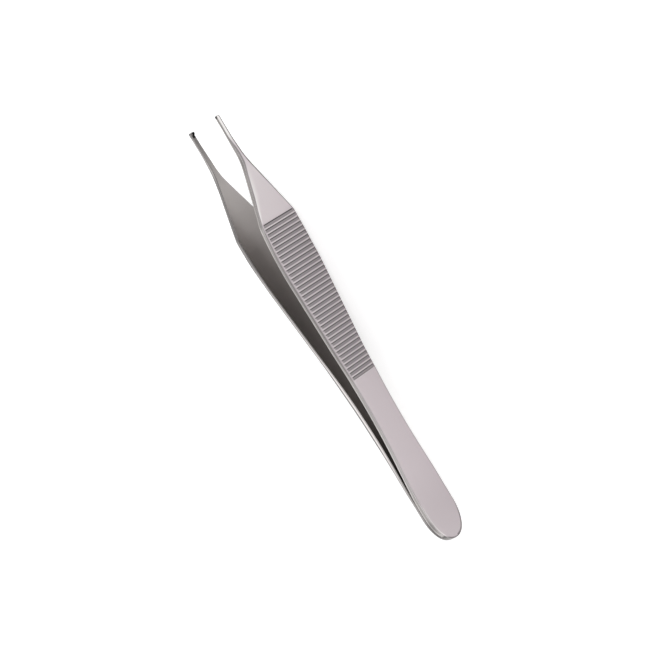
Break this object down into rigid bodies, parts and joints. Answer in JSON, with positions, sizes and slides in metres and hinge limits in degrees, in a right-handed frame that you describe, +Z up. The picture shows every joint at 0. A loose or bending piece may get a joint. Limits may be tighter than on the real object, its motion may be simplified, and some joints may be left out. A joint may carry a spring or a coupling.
{
  "type": "thumb forceps",
  "caption": "Spring tissue forceps with two arms welded at the heel, wide fluted grips, slender tips and interlocking teeth.",
  "frame": {"origin": "centre of the underside of the bounding box, with the forceps lying on the lower long edges of both arms", "axes": "+X along the length towards the tips, +Y across the gap from the front arm to the rear arm, +Z up, across the width of the arms"},
  "size_m": [0.12, 0.0124, 0.0139],
  "materials": {
    "satin_steel": "satin, glass-bead blasted stainless steel"
  },
  "bodies": {
    "root": {"front_arm": "satin_steel", "rear_arm": "satin_steel"}
  },
  "joints": []
}
